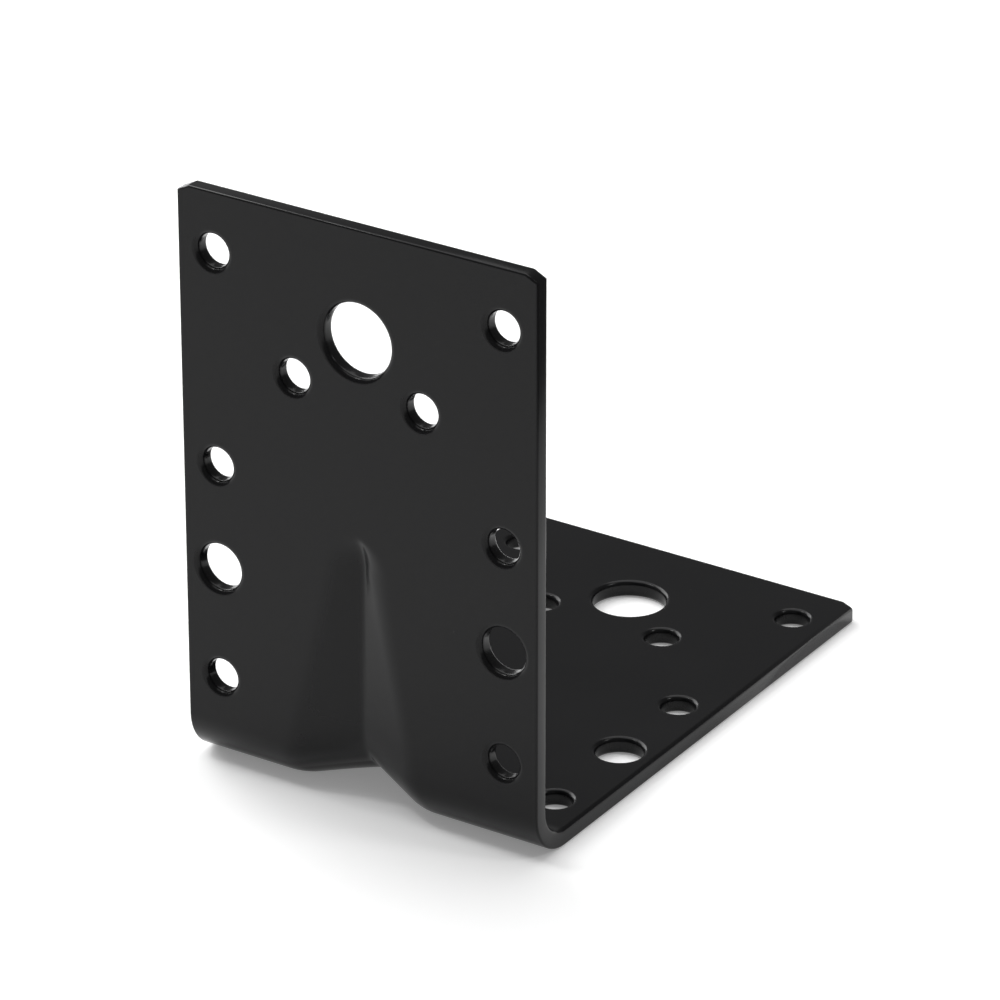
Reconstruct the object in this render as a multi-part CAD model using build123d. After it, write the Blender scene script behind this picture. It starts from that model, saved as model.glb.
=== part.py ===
from build123d import *
import math
import os

# Angle bracket for joining timbers, blanked, punched and folded from one steel
# sheet, with one stiffening rib pressed through its heel from the outside.
# Sizes are millimetres over the powder coat. Both legs carry the same holes,
# set out from their free ends. The upright leg's outer face looks along -Y,
# the flat leg lies on Z = 0, and the origin is the centre of the footprint.

# Folded sheet
upright_length = 90.0
flat_length = 89.0
bracket_width = 58.9
sheet_thickness = 2.7
fold_radius = 7.5
corner_cut_across = 2.0
corner_cut_along = 1.0
outer_edge_round = 0.3
inner_edge_round = 0.7

# Punched holes, with rims rolled over by the punch and filled by the coat. Each
# rolled rim is a few cone bands, because a true round costs ten times the facets
small_hole = 5.0
medium_hole = 7.0
large_hole = 11.0
outer_rim_round = 0.9
inner_rim_round = 0.7
rim_bands = 2
column_inset = 5.7
flank_pitch = 21.1
end_row = 9.1
large_row = 16.8
flank_row = 24.8
upper_row = 41.8
medium_row = 57.9
lower_row = 75.2

# Pressed rib: a groove on the outside, a ridge of the same sheet on the inside
rib_offset = -0.8
rib_reach = 43.3
rib_run_in = 7.0
rib_depth = 4.0
rib_fold_radius = 2.2
ridge_fold_radius = 1.0
rib_tip_width = 4.0
rib_heel_width = 33.5
rib_widening = 0.5
rib_sharpness = 2.35

# The rib's sections lie square across each leg, and fan round the heel about a
# centre that clears the ridge
fan_clearance = 4.0
fan_inset = max(fold_radius, sheet_thickness + rib_depth + ridge_fold_radius) + fan_clearance
tip_stations = 6
leg_stations = 4
heel_stations = 4
half_points = 9
tip_lap = 1.5
ridge_lap = 1.5
skin_lap = 0.06
tool_margin = 3.0

# Each leg's outer face, with the free end at its origin: X runs across, Y runs
# towards the heel and Z runs into the sheet
upright_end = Plane(origin=(0, 0, upright_length), x_dir=(1, 0, 0), z_dir=(0, 1, 0))
flat_end = Plane(origin=(0, flat_length, 0), x_dir=(-1, 0, 0), z_dir=(0, 0, 1))
both_legs = (upright_end, flat_end)


def folded_sheet():
    """The plain angle: two flats and the fold between them, as wide as the bracket."""
    legs = Polyline(
        (0, 0),
        (flat_length, 0),
        (flat_length, sheet_thickness),
        (sheet_thickness, sheet_thickness),
        (sheet_thickness, upright_length),
        (0, upright_length),
        close=True,
    )
    outline = make_face(legs)
    heel = outline.vertices().sort_by_distance((0, 0))[0]
    outline = fillet(heel, fold_radius)
    throat_corner = (sheet_thickness, sheet_thickness)
    throat = outline.vertices().sort_by_distance(throat_corner)[0]
    outline = fillet(throat, fold_radius - sheet_thickness)
    return extrude(Plane.YZ * outline, bracket_width / 2, both=True)


def corner_cuts():
    """Wedges that clip the two corners at each leg's free end."""
    side = bracket_width / 2
    beyond = side + tool_margin
    clip = Polyline(
        (side - corner_cut_across, -tool_margin),
        (side - corner_cut_across, 0),
        (side, corner_cut_along),
        (beyond, corner_cut_along),
        (beyond, -tool_margin),
        close=True,
    )
    right = extrude(make_face(clip), sheet_thickness)
    left = mirror(right, Plane.YZ)
    return [leg * wedge for leg in both_legs for wedge in (left, right)]


def skin_depth(point):
    """How far a point lies below the plain outer skin."""
    y, z = point.Y, point.Z
    if max(y, z) < fold_radius:
        return fold_radius - math.hypot(fold_radius - y, fold_radius - z)
    return min(y, z)


def soften_edges(sheet):
    """Rounds the blank's cut edge, more on the inner skin, where the die drew it over."""
    cut_faces = []
    for face in sheet.faces():
        depths = [skin_depth(vertex) for vertex in face.vertices()]
        if max(depths) - min(depths) > sheet_thickness / 2:
            cut_faces.append(face)
    outer, inner = [], []
    for edge in ShapeList(cut_faces).edges():
        start, end = skin_depth(edge @ 0), skin_depth(edge @ 1)
        if abs(start - end) > sheet_thickness / 2:
            continue
        if start < sheet_thickness / 2:
            outer.append(edge)
        else:
            inner.append(edge)
    sheet = sheet.fillet(outer_edge_round, outer)
    return sheet.fillet(inner_edge_round, inner)


def rolled_rim(radius, rim_round):
    """Points down a rim, from the skin at Z = 0 to the hole's straight wall."""
    points = []
    for band in range(rim_bands + 1):
        turn = math.radians(90) * band / rim_bands
        drop = rim_round * (1 - math.cos(turn))
        points.append((radius + rim_round * (1 - math.sin(turn)), drop))
    return points


def punch(diameter):
    """What one hole removes, with its axis on Z and the outer skin at Z = 0."""
    radius = diameter / 2
    above, below = -tool_margin, sheet_thickness + tool_margin
    outer_rim = rolled_rim(radius, outer_rim_round)
    inner_rim = [(x, sheet_thickness - drop) for x, drop in reversed(rolled_rim(radius, inner_rim_round))]
    mouth = (outer_rim[0][0], above)
    exit_mouth = (inner_rim[-1][0], below)
    profile = Polyline((0, above), mouth, *outer_rim, *inner_rim, exit_mouth, (0, below), close=True)
    return revolve(Plane.XZ * make_face(profile), Axis.Z)


def hole_punches():
    """The eleven punches of one leg, on both legs."""
    column = bracket_width / 2 - column_inset
    flank = flank_pitch / 2
    pattern = [(large_hole, 0, large_row)]
    for side in (-1, 1):
        pattern += [
            (small_hole, side * column, end_row),
            (small_hole, side * flank, flank_row),
            (small_hole, side * column, upper_row),
            (medium_hole, side * column, medium_row),
            (small_hole, side * column, lower_row),
        ]
    tools = {diameter: punch(diameter) for diameter in (small_hole, medium_hole, large_hole)}
    return [
        leg * Location((across, row, 0)) * tools[diameter]
        for leg in both_legs
        for diameter, across, row in pattern
    ]


def smooth_step(share):
    """Rises from 0 to 1 along half a cosine wave."""
    return (1 - math.cos(share * math.pi)) / 2


def groove_depth(reach, across):
    """Depth of the pressed groove at a place along a leg and a place across it."""
    if reach >= rib_reach:
        return 0.0
    run_in = min((rib_reach - reach) / rib_run_in, 1.0)
    share = min(abs(across - rib_offset) / groove_half_width(reach), 1.0)
    return rib_depth * smooth_step(run_in) * smooth_step(1 - share) ** rib_sharpness


def groove_half_width(reach):
    """Half the groove's width, which opens from its tip towards the heel."""
    nearness = max(1 - reach / rib_reach, 0.0)
    opening = (rib_heel_width - rib_tip_width) * nearness**rib_widening
    return (rib_tip_width + opening) / 2


def ridge_height(reach, across):
    """Height of the ridge over the inner skin: the groove rolled by the sheet's thickness."""
    best = 0.0
    for ring in range(9):
        radius = sheet_thickness * math.sin(ring / 8 * math.pi / 2)
        rise = math.sqrt(sheet_thickness**2 - radius**2) - sheet_thickness
        for turn in range(16):
            angle = turn / 16 * 2 * math.pi
            near_reach = max(reach + radius * math.sin(angle), 0.0)
            near_across = across + radius * math.cos(angle)
            best = max(best, groove_depth(near_reach, near_across) + rise)
    return best


def fan_distance(reach, inset, radius):
    """From the fan's centre to an L-shaped skin at this inset, on the station's ray."""
    if reach >= fan_inset:
        return fan_inset - inset
    ray = math.atan2(fan_inset - reach, fan_inset)
    flat_distance = (fan_inset - inset) / math.cos(ray)
    rounding = inset + radius
    if fan_inset - flat_distance * math.sin(ray) >= rounding:
        return flat_distance
    offset = fan_inset - rounding
    along = offset * (math.cos(ray) + math.sin(ray))
    return along + math.sqrt(along**2 - 2 * offset**2 + radius**2)


def station_point(reach, distance, across):
    """The point on a station's ray at this distance from the fan's centre."""
    if reach >= fan_inset:
        return Vector(across, fan_inset - distance, reach)
    ray = math.atan2(fan_inset - reach, fan_inset)
    y = fan_inset - distance * math.cos(ray)
    z = fan_inset - distance * math.sin(ray)
    return Vector(across, y, z)


def rib_stations():
    """Distances up a leg where the rib is drawn, closest together where it runs in."""
    start = rib_reach + tip_lap
    settled = rib_reach - rib_run_in
    tip = [start + (settled - start) * step / tip_stations for step in range(tip_stations)]
    leg = [settled + (fan_inset - settled) * step / leg_stations for step in range(leg_stations)]
    heel = [fan_inset * (1 - step / heel_stations) for step in range(heel_stations)]
    return tip + leg + heel + [0.0]


def rib_section(reach, half_width, height, skin, crest, lap, backing):
    """One closed section: the pressed curve, then back to the far side of the skin."""
    scale = (skin - crest) / rib_depth
    curve = []
    for step in range(-half_points, half_points + 1):
        across = rib_offset + half_width * step / half_points
        rise = height(reach, across) * scale
        curve.append(station_point(reach, skin - rise + lap, across))
    far_right = station_point(reach, skin + backing, rib_offset + half_width)
    far_left = station_point(reach, skin + backing, rib_offset - half_width)
    return curve, [curve[-1], far_right, far_left, curve[0]]


def rib_tool(inset, radius, crest_radius, lap_width, height, backing):
    """A solid along the whole rib, from one tip round the heel to the other."""
    outlines = []
    for reach in rib_stations():
        skin = fan_distance(reach, inset, radius)
        crest = fan_distance(reach, inset + rib_depth, crest_radius)
        half_width = groove_half_width(reach) + lap_width
        outlines.append(rib_section(reach, half_width, height, skin, crest, skin_lap, backing))
    swapped = []
    for curve, back in reversed(outlines[:-1]):
        swapped.append(([swap_legs(p) for p in curve], [swap_legs(p) for p in back]))
    shares = [step / (2 * half_points) for step in range(2 * half_points + 1)]
    wires = []
    for curve, back in outlines + swapped:
        pressed = Edge.make_spline(curve, parameters=shares)
        closing = Polyline(*back)
        wires.append(Wire([pressed, *closing.edges()]))
    return Solid.make_loft(wires)


def swap_legs(point):
    """The same place on the other leg."""
    return Vector(point.X, point.Z, point.Y)


def angle_bracket():
    sheet = folded_sheet() - corner_cuts()
    sheet = soften_edges(sheet)
    sheet = sheet - hole_punches()
    throat_radius = fold_radius - sheet_thickness
    half_sheet = sheet_thickness / 2
    ridge = rib_tool(sheet_thickness, throat_radius, ridge_fold_radius, ridge_lap, ridge_height, half_sheet)
    groove = rib_tool(0, fold_radius, rib_fold_radius, 0, groove_depth, tool_margin)
    bracket = sheet + ridge - groove
    return Pos(0, -flat_length / 2, 0) * bracket


os.makedirs("parts", exist_ok=True)
bracket = angle_bracket()
bracket.label = "angle_bracket"
export_step(bracket, "parts/angle_bracket.step")
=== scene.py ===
import math

import bmesh
import bpy
import numpy as np
from mathutils import Matrix, Vector
from mathutils.geometry import delaunay_2d_cdt


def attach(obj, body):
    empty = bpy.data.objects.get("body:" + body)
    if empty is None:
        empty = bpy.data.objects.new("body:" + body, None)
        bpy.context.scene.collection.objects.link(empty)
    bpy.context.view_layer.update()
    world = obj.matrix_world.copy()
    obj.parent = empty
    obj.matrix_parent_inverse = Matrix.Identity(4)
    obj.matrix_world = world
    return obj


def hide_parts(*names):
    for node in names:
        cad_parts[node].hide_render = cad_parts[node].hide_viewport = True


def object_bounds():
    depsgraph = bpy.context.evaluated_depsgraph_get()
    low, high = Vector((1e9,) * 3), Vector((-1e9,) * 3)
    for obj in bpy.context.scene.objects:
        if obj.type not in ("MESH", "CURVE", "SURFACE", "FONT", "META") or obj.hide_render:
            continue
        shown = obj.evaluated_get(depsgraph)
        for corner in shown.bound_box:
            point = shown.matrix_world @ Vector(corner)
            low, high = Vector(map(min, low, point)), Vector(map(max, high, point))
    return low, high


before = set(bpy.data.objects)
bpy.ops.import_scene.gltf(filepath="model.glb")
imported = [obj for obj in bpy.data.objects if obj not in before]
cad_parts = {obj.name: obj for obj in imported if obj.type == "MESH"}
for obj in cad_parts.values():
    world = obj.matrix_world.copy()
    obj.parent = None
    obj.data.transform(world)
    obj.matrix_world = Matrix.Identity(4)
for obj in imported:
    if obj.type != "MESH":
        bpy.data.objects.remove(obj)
cad_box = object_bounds()
mm = 0.001


# Camera
# The bracket was photographed from its right and from above with a long lens, so its upright
# edges stay nearly parallel. The camera stands where the bracket's true right angles put it.
camera_place = Vector((0.44808, -0.70474, 0.44289))
camera_turn = math.radians(32.749)
camera_drop = math.radians(26.273)
camera_roll = math.radians(-0.051)
sensor_width = 36.0
photo_width_px = 1000
focal_length_px = 6442.61

camera_data = bpy.data.cameras.new("photo_camera")
camera_data.sensor_width = sensor_width
camera_data.lens = focal_length_px / photo_width_px * sensor_width
camera = bpy.data.objects.new("photo_camera", camera_data)
bpy.context.scene.collection.objects.link(camera)
camera.matrix_world = (
    Matrix.Translation(camera_place)
    @ Matrix.Rotation(camera_turn, 4, "Z")
    @ Matrix.Rotation(math.radians(90) - camera_drop, 4, "X")
    @ Matrix.Rotation(camera_roll, 4, "Z")
)
bpy.context.scene.camera = camera


# Punched, folded and ribbed sheet
# One blank of 2.5 mm steel is punched and folded to a right angle. A V tool then presses a pointed
# groove through its heel from the outside, and the same sheet stands up as a ridge inside the
# corner. Heights are measured up either leg, from where the two outer faces would meet.
upright_length = 90.0 * mm
flat_length = 89.0 * mm
bracket_width = 58.9 * mm
sheet_thickness = 2.7 * mm
fold_radius = 7.5 * mm
throat_radius = fold_radius - sheet_thickness
corner_cut_across = 2.0 * mm
corner_cut_along = 1.0 * mm
outer_edge_round = 0.3 * mm
inner_edge_round = 0.7 * mm
outer_plane = cad_box[0].y

rib_offset = -1.3 * mm
rib_lean = 1.4 * mm
rib_reach = 43.0 * mm
rib_nose_length = 5.0 * mm
rib_heel_depth = 2.2 * mm
rib_tip_depth = 1.2 * mm
rib_heel_radius = 10.7 * mm
rib_heel_width = 25.2 * mm
rib_heel_ease = 3.0 * mm
rib_tip_width = 8.5 * mm
rib_left_share = 0.527
rib_widening = 1.26
rib_valley_radius = 0.8 * mm
rib_foot_radius = 9.0 * mm
least_size = 0.001 * mm
roll_steps = 8
fan_inset = 10.2 * mm


def fan_distance(height, inset, corner_radius):
    """From the fan's centre to an L-shaped skin at this inset, along each height's ray."""
    ray = np.arctan2(np.maximum(fan_inset - height, 0), fan_inset)
    rounding = inset + corner_radius
    flat = (fan_inset - inset) / np.cos(ray)
    offset = fan_inset - rounding
    along = offset * (np.cos(ray) + np.sin(ray))
    bend = along + np.sqrt(np.maximum(along**2 - 2 * offset**2 + corner_radius**2, 0))
    fanned = np.where(fan_inset - flat * np.sin(ray) >= rounding, flat, bend)
    rise = np.clip(rounding - height, 0, corner_radius)
    straight = offset + np.sqrt(corner_radius**2 - rise**2)
    return np.where(height >= fan_inset, straight, fanned)


def pressed_depth(across, height, rolled):
    """Depth of the rib once its bends are rolled through the sheet by this much."""
    share = np.clip((rib_reach - height) / rib_nose_length, 0, 1)
    nose = share * (2 - share)
    eased = np.clip(1 - (np.hypot(height, rib_heel_ease) - rib_heel_ease) / rib_reach, 0, 1)
    tip_share = 1 - (1 - rib_tip_depth / rib_heel_depth) * (1 - eased)
    plain = fan_distance(height, 0, fold_radius)
    deep = fan_distance(height, rib_heel_depth, rib_heel_radius)
    valley_depth = (plain - deep) * nose * tip_share
    depth = np.maximum(valley_depth, least_size)
    distance = across - rib_offset - rib_lean * height / rib_reach
    width = rib_tip_width + (rib_heel_width - rib_tip_width) * eased**rib_widening
    side_share = np.where(distance < 0, rib_left_share, 1 - rib_left_share)
    width = np.maximum(width * side_share * np.sqrt(nose), least_size)
    distance = np.abs(distance)
    bend = np.minimum(rib_valley_radius + rib_foot_radius, (width**2 + depth**2) / (2 * depth))
    valley = np.minimum(rib_valley_radius + rolled, bend)
    foot = bend - valley
    span = np.hypot(bend - depth, width)
    tilt = np.arctan2(width, bend - depth) - np.arccos(np.minimum(bend / span, 1))
    valley_end = valley * np.sin(tilt)
    foot_start = width - foot * np.sin(tilt)
    in_valley = depth - valley + np.sqrt(np.maximum(valley**2 - distance**2, 0))
    on_flank = depth - valley * (1 - np.cos(tilt)) - (distance - valley_end) * np.tan(tilt)
    on_foot = foot - np.sqrt(np.maximum(foot**2 - (width - distance) ** 2, 0))
    outside = (distance >= width) | (valley_depth <= 0)
    regions = [outside, distance < valley_end, distance < foot_start]
    return np.select(regions, [np.zeros_like(depth), in_valley, on_flank], on_foot)


def ridge_height(across, height):
    """Height of the ridge over the plain inner skin: the groove rolled by the sheet's thickness."""
    ridge = np.zeros_like(height)
    for step in range(-roll_steps, roll_steps + 1):
        lean = math.radians(90) * step / roll_steps
        along = sheet_thickness * math.sin(lean)
        drop = sheet_thickness * (1 - math.cos(lean))
        rolled = pressed_depth(across, np.abs(height + along), sheet_thickness)
        ridge = np.maximum(ridge, rolled - drop)
    return ridge


def sheet_points(flat_points, depth):
    """Points (across, reach) of the blank at one depth, in space. The flat leg's reach is minus."""
    across, reach = np.array(flat_points).T
    height = np.abs(reach)
    ray = np.arctan2(np.maximum(fan_inset - height, 0), fan_inset)
    outer = fan_distance(height, 0, fold_radius) - pressed_depth(across, height, 0)
    inner = fan_distance(height, sheet_thickness, throat_radius) - ridge_height(across, height)
    distance = outer + (inner - outer) * depth / sheet_thickness
    below = fan_inset - distance * np.cos(ray)
    along = np.where(height < fan_inset, fan_inset - distance * np.sin(ray), height)
    into = np.where(reach >= 0, below, along)
    up = np.where(reach >= 0, along, below)
    return np.stack([across, outer_plane + into, up], 1)


# Punched holes
# Each leg has the same eleven holes, punched before the fold. The punch rolls each rim over and
# the powder coat fills it, so every hole is a short round wall between two rolled rims. The wall
# and its rims are revolved once for each size by geometry nodes, and set at each hole's centre.
outer_rim_round = 0.9 * mm
inner_rim_round = 0.7 * mm
column_inset = 5.7 * mm
flank_pitch = 21.1 * mm
hole_sides = 72
rim_steps = 7
column = bracket_width / 2 - column_inset
flank = flank_pitch / 2
# Each row's diameter, its distance from the leg's free end, and its holes' places across
hole_rows = [
    (11.0 * mm, 16.8 * mm, [0]),
    (5.0 * mm, 9.1 * mm, [-column, column]),
    (5.0 * mm, 24.8 * mm, [-flank, flank]),
    (5.0 * mm, 41.8 * mm, [-column, column]),
    (7.0 * mm, 57.9 * mm, [-column, column]),
    (5.0 * mm, 75.2 * mm, [-column, column]),
]
holes = []
for diameter, row, places in hole_rows:
    for place in places:
        holes.append((diameter / 2, place, upright_length - row))
        holes.append((diameter / 2, place, row - flat_length))


def add_node(tree, kind, settings=None, **inputs):
    """Adds a node, sets its properties and fills or links its inputs, by name or identifier."""
    node = tree.nodes.new(kind)
    for name, value in (settings or {}).items():
        setattr(node, name, value)
    for name, value in inputs.items():
        names = (name, name.replace("_", " "))
        socket = next(s for s in node.inputs if s.identifier in names or s.name in names)
        if isinstance(value, bpy.types.NodeSocket):
            tree.links.new(value, socket)
        else:
            socket.default_value = value
    return node


def rolled_section(outer_round, inner_round):
    """A cut edge's section as (distance out from the wall, depth), from outer skin to inner."""
    section = []
    for step in range(rim_steps + 1):
        lean = math.radians(90) * step / rim_steps
        section.append((outer_round * (1 - math.sin(lean)), outer_round * (1 - math.cos(lean))))
    for step in range(rim_steps + 1):
        lean = math.radians(90) * step / rim_steps
        depth = sheet_thickness - inner_round * (1 - math.sin(lean))
        section.append((inner_round * (1 - math.cos(lean)), depth))
    return section


rim_tree = bpy.data.node_groups.new("punched_hole", "GeometryNodeTree")
rim_sockets = rim_tree.interface
rim_sockets.new_socket("Centres", in_out="INPUT", socket_type="NodeSocketGeometry")
section_input = rim_sockets.new_socket("Section", in_out="INPUT", socket_type="NodeSocketObject")
radius_input = rim_sockets.new_socket("Hole Radius", in_out="INPUT", socket_type="NodeSocketFloat")
sides_input = rim_sockets.new_socket("Hole Sides", in_out="INPUT", socket_type="NodeSocketInt")
coat_input = rim_sockets.new_socket("Coat", in_out="INPUT", socket_type="NodeSocketMaterial")
rim_sockets.new_socket("Rims", in_out="OUTPUT", socket_type="NodeSocketGeometry")
given = add_node(rim_tree, "NodeGroupInput").outputs
rim_section = add_node(rim_tree, "GeometryNodeObjectInfo", Object=given["Section"])
profile = add_node(rim_tree, "GeometryNodeMeshToCurve", Mesh=rim_section.outputs["Geometry"])
wall = add_node(
    rim_tree,
    "GeometryNodeCurvePrimitiveCircle",
    Radius=given["Hole Radius"],
    Resolution=given["Hole Sides"],
)
revolved = add_node(
    rim_tree,
    "GeometryNodeCurveToMesh",
    Curve=wall.outputs["Curve"],
    Profile_Curve=profile.outputs["Curve"],
)
turn = add_node(
    rim_tree, "GeometryNodeInputNamedAttribute", {"data_type": "FLOAT_VECTOR"}, Name="turn"
)
placed = add_node(
    rim_tree,
    "GeometryNodeInstanceOnPoints",
    Points=given["Centres"],
    Instance=revolved.outputs["Mesh"],
    Rotation=turn.outputs["Attribute"],
)
real = add_node(rim_tree, "GeometryNodeRealizeInstances", Geometry=placed.outputs["Instances"])
coated = add_node(
    rim_tree, "GeometryNodeSetMaterial", Geometry=real.outputs["Geometry"], Material=given["Coat"]
)
add_node(rim_tree, "NodeGroupOutput", Rims=coated.outputs["Geometry"])


def coated_rims(radius, finish):
    """The rims of all the holes of one size, as a plain mesh."""
    section_mesh = bpy.data.meshes.new("rim_section")
    points = rolled_section(outer_rim_round, inner_rim_round)
    edges = [(step, step + 1) for step in range(len(points) - 1)]
    section_mesh.from_pydata([(out, depth, 0) for out, depth in points], edges, [])
    section_piece = bpy.data.objects.new("rim_section", section_mesh)
    centres = [hole[1:] for hole in holes if hole[0] == radius]
    turns = []
    for across, reach in centres:
        turns += [math.radians(90) if reach > 0 else math.radians(180), 0, 0]
    centre_mesh = bpy.data.meshes.new("hole_centres")
    centre_mesh.from_pydata(sheet_points(centres, 0).tolist(), [], [])
    turn_data = centre_mesh.attributes.new("turn", "FLOAT_VECTOR", "POINT").data
    turn_data.foreach_set("vector", turns)
    centre_piece = bpy.data.objects.new("hole_centres", centre_mesh)
    bpy.context.scene.collection.objects.link(section_piece)
    bpy.context.scene.collection.objects.link(centre_piece)
    punch = centre_piece.modifiers.new("punched_hole", "NODES")
    punch.node_group = rim_tree
    punch[section_input.identifier] = section_piece
    punch[radius_input.identifier] = radius
    punch[sides_input.identifier] = hole_sides
    punch[coat_input.identifier] = finish
    evaluated = centre_piece.evaluated_get(bpy.context.evaluated_depsgraph_get())
    rims = bpy.data.meshes.new_from_object(evaluated)
    bpy.data.objects.remove(centre_piece)
    bpy.data.objects.remove(section_piece)
    return rims


# Blank
# The two skins are triangulated flat, round the holes and inside the cut edge, on a grid that is
# close where the sheet is folded and pressed, and are then carried to their folded places. The cut
# edge is rounded in the same way as the holes' rims, and everything is welded into one closed skin.
grid_step = 0.5 * mm
fold_step = 0.3 * mm
leg_step = 3.0 * mm
support = 0.15 * mm
rib_side = 15.5 * mm
plain_column_skip = 6
weld = 0.001 * mm


def steps_between(low, high, step):
    """Evenly spaced values from low to high, no further apart than the step."""
    count = math.ceil((high - low) / step)
    return [low + (high - low) * index / count for index in range(count + 1)]


rib_end = rib_reach + sheet_thickness
upward = steps_between(0, fan_inset, fold_step) + steps_between(fan_inset, rib_end, grid_step)[1:]
reaches = [-reach for reach in reversed(upward[1:])] + upward
plain_upright = steps_between(rib_end, upright_length, leg_step)[1:-1]
plain_flat = [-reach for reach in steps_between(rib_end, flat_length, leg_step)[1:-1]]
rib_columns = steps_between(rib_offset - rib_side, rib_offset + rib_side, grid_step)
side_columns = steps_between(rib_columns[-1], bracket_width / 2, leg_step)[1:-1]
side_columns += [2 * rib_offset - across for across in side_columns]


def outline(inset):
    """The cut edge of the blank, moved inwards, as (across, reach), anticlockwise."""
    side = bracket_width / 2
    right = [(side, -flat_length + corner_cut_along)]
    right += [(side, reach) for reach in reaches]
    right += [(side, upright_length - corner_cut_along)]
    top = [(side - corner_cut_across, upright_length), (corner_cut_across - side, upright_length)]
    left = [(-across, reach) for across, reach in reversed(right)]
    bottom = [(corner_cut_across - side, -flat_length), (side - corner_cut_across, -flat_length)]
    corners = np.array(right + top + left + bottom)
    along = np.roll(corners, -1, axis=0) - corners
    along /= np.linalg.norm(along, axis=1, keepdims=True)
    inward = np.stack([-along[:, 1], along[:, 0]], 1)
    mitre = inward + np.roll(inward, 1, axis=0)
    return corners + mitre * (2 * inset / (mitre**2).sum(axis=1, keepdims=True))


def ring(radius, across, reach):
    """One turn round a hole."""
    turns = np.linspace(0, 2 * math.pi, hole_sides, endpoint=False)
    return np.stack([across + radius * np.cos(turns), reach + radius * np.sin(turns)], 1)


def clear_of_holes(points, margin):
    """Which points lie further than the margin outside every hole's wall."""
    clear = np.full(len(points), True)
    for radius, across, reach in holes:
        clear &= np.linalg.norm(points - (across, reach), axis=1) > radius + margin
    return clear


def skin(edge_round, rim_round):
    """A flat triangulation of one skin, as its points and triangles."""
    edge = outline(edge_round)
    loops = [edge, outline(edge_round + support)]
    for radius, across, reach in holes:
        loops.append(ring(radius + rim_round, across, reach))
        loops.append(ring(radius + rim_round + support, across, reach))
    lines = []
    for loop in loops:
        first = lines[-1][0] + 1 if lines else 0
        lines += [(first + index, first + (index + 1) % len(loop)) for index in range(len(loop))]
    grid = [(across, reach) for across in rib_columns for reach in reaches]
    grid += [(across, reach) for across in side_columns for reach in reaches]
    plain = plain_upright + plain_flat
    plain_columns = rib_columns[::plain_column_skip] + side_columns
    grid += [(across, reach) for across in plain_columns for reach in plain]
    grid = np.array(grid)
    side = bracket_width / 2 - edge_round - support
    apart = clear_of_holes(grid, rim_round + support + grid_step / 2)
    grid = grid[apart & (np.abs(grid[:, 0]) < side - grid_step / 2)]
    points = np.concatenate([*loops, grid]) / mm
    points = [Vector(point) for point in points.tolist()]
    fill_hull = 0
    closeness = weld / mm / 10
    found, _, triangles, *_ = delaunay_2d_cdt(points, lines, [], fill_hull, closeness)
    found = np.array([point[:] for point in found]) * mm
    triangles = np.array(triangles)
    centres = found[triangles].mean(axis=1)
    along = np.roll(edge, -1, axis=0) - edge
    reach_out = centres[:, None] - edge[None]
    sides = along[None, :, 0] * reach_out[..., 1] - along[None, :, 1] * reach_out[..., 0]
    kept = (sides > 0).all(axis=1) & clear_of_holes(centres, rim_round)
    return found, triangles[kept]


def cut_edge():
    """The blank's rounded cut edge, as its folded points and quads."""
    points, quads = [], []
    for inset, depth in rolled_section(outer_edge_round, inner_edge_round):
        loop = outline(inset)
        first = len(points)
        points += sheet_points(loop, depth).tolist()
        for index in range(len(loop) if first else 0):
            start, end = first + index, first + (index + 1) % len(loop)
            quads.append((start, end, end - len(loop), start - len(loop)))
    return points, quads


coat = bpy.data.materials.new("black_powder_coat")
bracket_form = bmesh.new()
for depth, edge_round, rim_round in (
    (0, outer_edge_round, outer_rim_round),
    (sheet_thickness, inner_edge_round, inner_rim_round),
):
    flat_points, triangles = skin(edge_round, rim_round)
    skin_points = sheet_points(flat_points, depth).tolist()
    skin_vertices = [bracket_form.verts.new(point) for point in skin_points]
    for triangle in triangles.tolist():
        bracket_form.faces.new([skin_vertices[index] for index in triangle])
edge_points, edge_quads = cut_edge()
edge_vertices = [bracket_form.verts.new(point) for point in edge_points]
for quad in edge_quads:
    bracket_form.faces.new([edge_vertices[index] for index in quad])
for radius in sorted({hole[0] for hole in holes}):
    rims = coated_rims(radius, coat)
    bracket_form.from_mesh(rims)
    bpy.data.meshes.remove(rims)
loose = [vertex for vertex in bracket_form.verts if not vertex.link_faces]
bmesh.ops.delete(bracket_form, geom=loose, context="VERTS")
bmesh.ops.remove_doubles(bracket_form, verts=bracket_form.verts, dist=weld)
bmesh.ops.recalc_face_normals(bracket_form, faces=bracket_form.faces)
for face in bracket_form.faces:
    face.smooth = True
bracket_mesh = bpy.data.meshes.new("pressed_bracket")
bracket_form.to_mesh(bracket_mesh)
bracket_form.free()
bracket_mesh.materials.clear()
bracket_mesh.materials.append(coat)
bracket = bpy.data.objects.new("pressed_bracket", bracket_mesh)
bpy.context.scene.collection.objects.link(bracket)
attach(bracket, "root")
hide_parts("angle_bracket")


# Black powder coat
# Polyester powder, sprayed on and baked: a deep black with a half gloss. Where the powder flowed
# together it left a faint orange peel, with finer grains in it. The gloss drifts a little from
# patch to patch, and here and there a pale fleck of dust or unmelted powder shows.
coat_black = "121213"
fleck_grey = "8c8c8c"
peel_size = 2.2 * mm
peel_height = 0.006 * mm
grain_size = 0.35 * mm
grain_height = 0.0015 * mm
patch_size = 18.0 * mm
patch_low = 0.2
patch_high = 0.8
glossy_roughness = 0.17
dull_roughness = 0.25
fleck_spacing = 3.2 * mm
fleck_radius = 0.14 * mm
cells_without_fleck = 0.9


def linear(hex_colour):
    """A linear colour from an sRGB hex value."""
    channels = [int(hex_colour[index:index + 2], 16) / 255 for index in (0, 2, 4)]
    return [c / 12.92 if c <= 0.04045 else ((c + 0.055) / 1.055) ** 2.4 for c in channels] + [1.0]


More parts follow.
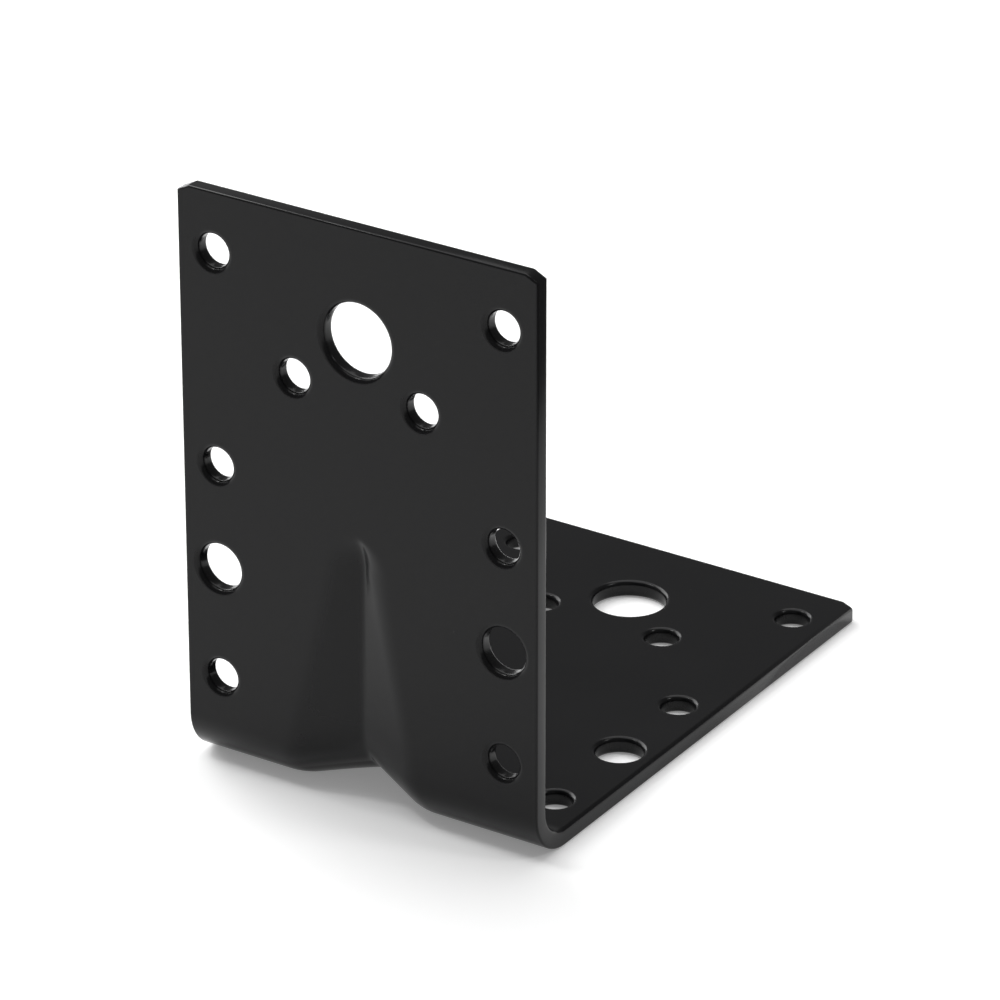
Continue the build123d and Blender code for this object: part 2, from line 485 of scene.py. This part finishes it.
coat.use_nodes = True
coat_tree = coat.node_tree
coat_tree.nodes.clear()
on_coat = add_node(coat_tree, "ShaderNodeTexCoord").outputs["Object"]
peel = add_node(
    coat_tree, "ShaderNodeTexNoise", Vector=on_coat, Scale=1 / peel_size, Detail=1.0
)
grain = add_node(
    coat_tree, "ShaderNodeTexNoise", Vector=on_coat, Scale=1 / grain_size, Detail=1.0
)
patches = add_node(
    coat_tree, "ShaderNodeTexNoise", Vector=on_coat, Scale=1 / patch_size, Detail=2.0
)
peel_bump = add_node(
    coat_tree, "ShaderNodeBump", Height=peel.outputs["Fac"], Distance=peel_height, Strength=1.0
)
grain_bump = add_node(
    coat_tree,
    "ShaderNodeBump",
    Height=grain.outputs["Fac"],
    Distance=grain_height,
    Strength=1.0,
    Normal=peel_bump.outputs["Normal"],
)
gloss = add_node(
    coat_tree,
    "ShaderNodeMapRange",
    Value=patches.outputs["Fac"],
    From_Min=patch_low,
    From_Max=patch_high,
    To_Min=glossy_roughness,
    To_Max=dull_roughness,
)
cells = add_node(
    coat_tree, "ShaderNodeTexVoronoi", Vector=on_coat, Scale=1 / fleck_spacing, Randomness=1.0
)
in_fleck = add_node(
    coat_tree,
    "ShaderNodeMapRange",
    Value=cells.outputs["Distance"],
    From_Min=fleck_radius / fleck_spacing,
    From_Max=fleck_radius / fleck_spacing / 2,
    To_Min=0.0,
    To_Max=1.0,
)
cell_draw = add_node(coat_tree, "ShaderNodeSeparateColor", Color=cells.outputs["Color"])
chosen = add_node(
    coat_tree,
    "ShaderNodeMath",
    {"operation": "GREATER_THAN"},
    Value=cell_draw.outputs["Red"],
    Value_001=cells_without_fleck,
)
flecked = add_node(
    coat_tree,
    "ShaderNodeMath",
    {"operation": "MULTIPLY"},
    Value=in_fleck.outputs["Result"],
    Value_001=chosen.outputs["Value"],
)
colour = add_node(
    coat_tree,
    "ShaderNodeMix",
    {"data_type": "RGBA"},
    Factor=flecked.outputs["Value"],
    A_Color=linear(coat_black),
    B_Color=linear(fleck_grey),
)
mixed = next(socket for socket in colour.outputs if socket.identifier == "Result_Color")
shader = add_node(
    coat_tree,
    "ShaderNodeBsdfPrincipled",
    Base_Color=mixed,
    Roughness=gloss.outputs["Result"],
    Specular_IOR_Level=0.19,
    Normal=grain_bump.outputs["Normal"],
)
add_node(coat_tree, "ShaderNodeOutputMaterial", Surface=shader.outputs["BSDF"])


# White table and studio light
# The photograph has a plain white ground. The table shows a little brighter to the camera and in
# reflections than its lamps make it, and keeps a soft shadow. Two soft boxes hang above and to the
# left, the front mostly reflects the table, and two small lamps put glints on the holes' rims.
table_white = "f8f8f8"
table_reach = 3.0
table_glow = 0.2
studio_grey = "7c7c7c"
lamp_target = Vector((0, 0, 0.04))

table_mesh = bpy.data.meshes.new("white_table")
table_corners = [
    (-table_reach, -table_reach, 0),
    (table_reach, -table_reach, 0),
    (table_reach, table_reach, 0),
    (-table_reach, table_reach, 0),
]
table_mesh.from_pydata(table_corners, [], [(0, 1, 2, 3)])
table = bpy.data.objects.new("white_table", table_mesh)
bpy.context.scene.collection.objects.link(table)
table_paint = bpy.data.materials.new("white_table")
table_paint.use_nodes = True
table_tree = table_paint.node_tree
table_tree.nodes.clear()
ray_kind = add_node(table_tree, "ShaderNodeLightPath").outputs
seen = ray_kind["Is Camera Ray"]
for kind in ("Is Glossy Ray", "Is Transmission Ray"):
    either = add_node(
        table_tree,
        "ShaderNodeMath",
        {"operation": "MAXIMUM"},
        Value=seen,
        Value_001=ray_kind[kind],
    )
    seen = either.outputs["Value"]
glow = add_node(
    table_tree, "ShaderNodeMath", {"operation": "MULTIPLY"}, Value=seen, Value_001=table_glow
)
table_shader = add_node(
    table_tree,
    "ShaderNodeBsdfPrincipled",
    Base_Color=linear(table_white),
    Roughness=0.9,
    Specular_IOR_Level=0.2,
    Emission_Color=linear("ffffff"),
    Emission_Strength=glow.outputs["Value"],
)
add_node(table_tree, "ShaderNodeOutputMaterial", Surface=table_shader.outputs["BSDF"])
table_mesh.materials.append(table_paint)

world = bpy.data.worlds.new("studio")
bpy.context.scene.world = world
world.use_nodes = True
studio_light = world.node_tree.nodes["Background"].inputs
studio_light["Color"].default_value = linear(studio_grey)
studio_light["Strength"].default_value = 1.0


def hang_lamp(name, stand, size, power):
    """A square lamp that faces the bracket."""
    lamp_data = bpy.data.lights.new(name, "AREA")
    lamp_data.size = size
    lamp_data.energy = power
    lamp = bpy.data.objects.new(name, lamp_data)
    bpy.context.scene.collection.objects.link(lamp)
    lamp.location = stand
    lamp.rotation_euler = (lamp_target - Vector(stand)).to_track_quat("-Z", "Y").to_euler()


hang_lamp("top_soft_box", (-0.3, 0.2, 1.3), size=1.4, power=12.5)
hang_lamp("left_soft_box", (-1.0, 0.2, 0.6), size=0.8, power=10.5)
hang_lamp("front_left_lamp", (-0.55, -0.28, 0.95), size=0.14, power=1.4)
hang_lamp("right_lamp", (0.72, 0.15, 0.82), size=0.14, power=1.2)

bpy.context.scene.view_settings.view_transform = "Standard"
